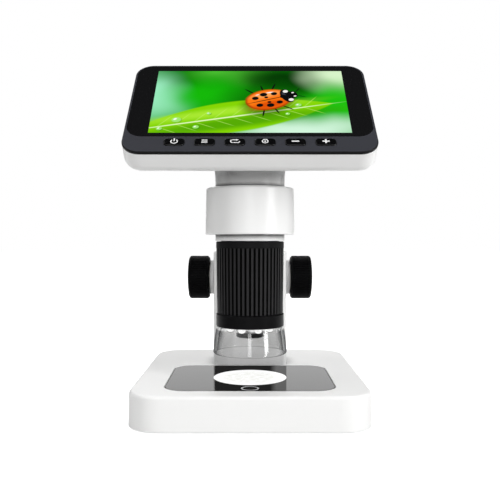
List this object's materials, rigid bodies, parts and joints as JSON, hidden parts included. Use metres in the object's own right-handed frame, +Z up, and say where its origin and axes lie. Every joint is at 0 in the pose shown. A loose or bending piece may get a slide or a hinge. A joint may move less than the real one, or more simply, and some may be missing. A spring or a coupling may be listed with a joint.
{
  "type": "lcd digital microscope",
  "caption": "Desktop digital microscope: tilted display head in a collar on a rack-and-pinion column above a lit glass stage, with focus ring and clear hood.",
  "frame": {"origin": "centre of the footprint, on the surface that the rubber feet stand on", "axes": "+Z up, +X to the right of a user who faces the display, +Y away from the user towards the column"},
  "size_m": [0.1182, 0.1296, 0.18],
  "materials": {
    "white_plastic": "satin moulded",
    "grey_plastic": "satin moulded",
    "black_plastic": "fine moulded",
    "bezel_plastic": "satin",
    "key_plastic": "satin, white printed signs",
    "stage_glass": "polished, black printed underside with a clear disc",
    "display_glass": "polished, black printed border",
    "clear_plastic": "polished clear polycarbonate",
    "lens_glass": "coated",
    "milky_plastic": "opal",
    "rubber": "matte",
    "ballast_steel": "raw",
    "screw_steel": "turned",
    "socket_steel": "tinned",
    "slide_metal": "brushed",
    "brass": "machined",
    "slide_plastic": "acetal",
    "circuit_board": "solder mask",
    "switch_plastic": "moulded",
    "led_white": "phosphor",
    "battery_foil": "foil",
    "ribbon_film": "polyimide",
    "lcd_panel": "metal frame with a lit panel"
  },
  "bodies": {
    "base": {"base_housing": "white_plastic", "base_cover": "grey_plastic", "base_screws": "screw_steel", "rubber_feet": "rubber", "ballast_plate": "ballast_steel", "stage_glass": "stage_glass", "stage_diffuser": "milky_plastic", "stage_light_board": "circuit_board", "stage_leds": "led_white", "touch_board": "circuit_board", "base_board": "circuit_board", "base_usb_socket": "socket_steel", "column_housing": "white_plastic", "column_back_cover": "white_plastic", "back_cover_screws": "screw_steel", "column_screws": "screw_steel", "guide_rails": "slide_plastic", "left_shaft_bush": "grey_plastic", "right_shaft_bush": "grey_plastic"},
    "knobs": {"knob_shaft": "screw_steel", "pinion": "brass", "left_knob": "black_plastic", "right_knob": "black_plastic", "knob_set_screws": "screw_steel", "knob_washers": "slide_plastic"},
    "carriage": {"collar_arm": "white_plastic", "collar_liner": "rubber", "slide_plate": "slide_metal", "rack": "brass", "arm_screws": "screw_steel"},
    "head": {"rear_housing": "white_plastic", "front_bezel": "bezel_plastic", "cover_glass": "display_glass", "lcd_module": "lcd_panel", "main_board": "circuit_board", "battery": "battery_foil", "button_board": "circuit_board", "tact_switches": "switch_plastic", "usb_socket": "socket_steel", "microsd_socket": "socket_steel", "head_screws": "screw_steel", "sensor_board": "circuit_board", "camera_ribbon": "ribbon_film", "lower_ring": "black_plastic", "guide_rods": "screw_steel", "led_board": "circuit_board", "hood_leds": "led_white", "hood": "clear_plastic"},
    "focus_ring": {"focus_ring": "black_plastic"},
    "lens": {"lens_carrier": "black_plastic", "lens_barrel": "black_plastic", "lenses": "lens_glass"},
    "power_key": {"power_button": "key_plastic"},
    "menu_key": {"menu_button": "key_plastic"},
    "flip_key": {"flip_button": "key_plastic"},
    "ok_key": {"ok_button": "key_plastic"},
    "minus_key": {"minus_button": "key_plastic"},
    "plus_key": {"plus_button": "key_plastic"}
  },
  "joints": [
    {"name": "carriage_lift", "type": "slide", "parent": "base", "child": "carriage", "axis": [0, 0, 1], "range_m": [-0.01, 0.028]},
    {"name": "knob_spin", "type": "hinge", "parent": "base", "child": "knobs", "pos_m": [0, 0.025, 0.0663], "axis": [-1, 0, 0], "range_deg": [-96, 268]},
    {"name": "head_swivel", "type": "hinge", "parent": "carriage", "child": "head", "pos_m": [0, -0.022, 0.1028], "axis": [0, 0, 1], "continuous": true},
    {"name": "focus_turn", "type": "hinge", "parent": "head", "child": "focus_ring", "pos_m": [0, -0.022, 0.0691], "axis": [0, 0, 1], "range_deg": [-151, 151]},
    {"name": "lens_travel", "type": "slide", "parent": "head", "child": "lens", "axis": [0, 0, 1], "range_m": [-0.0025, 0.0025]},
    {"name": "power_press", "type": "slide", "parent": "head", "child": "power_key", "axis": [0, 0.7071, -0.7071], "range_m": [0, 0.0005], "stiffness_N_per_m": 2000, "springref_m": -0.0003},
    {"name": "menu_press", "type": "slide", "parent": "head", "child": "menu_key", "axis": [0, 0.7071, -0.7071], "range_m": [0, 0.0005], "stiffness_N_per_m": 2000, "springref_m": -0.0003},
    {"name": "flip_press", "type": "slide", "parent": "head", "child": "flip_key", "axis": [0, 0.7071, -0.7071], "range_m": [0, 0.0005], "stiffness_N_per_m": 2000, "springref_m": -0.0003},
    {"name": "ok_press", "type": "slide", "parent": "head", "child": "ok_key", "axis": [0, 0.7071, -0.7071], "range_m": [0, 0.0005], "stiffness_N_per_m": 2000, "springref_m": -0.0003},
    {"name": "minus_press", "type": "slide", "parent": "head", "child": "minus_key", "axis": [0, 0.7071, -0.7071], "range_m": [0, 0.0005], "stiffness_N_per_m": 2000, "springref_m": -0.0003},
    {"name": "plus_press", "type": "slide", "parent": "head", "child": "plus_key", "axis": [0, 0.7071, -0.7071], "range_m": [0, 0.0005], "stiffness_N_per_m": 2000, "springref_m": -0.0003}
  ],
  "couplings": [
    {"joint": "knob_spin", "follows": "carriage_lift", "rad_per_m": 166.67},
    {"joint": "focus_turn", "follows": "lens_travel", "rad_per_m": 1047.2}
  ]
}
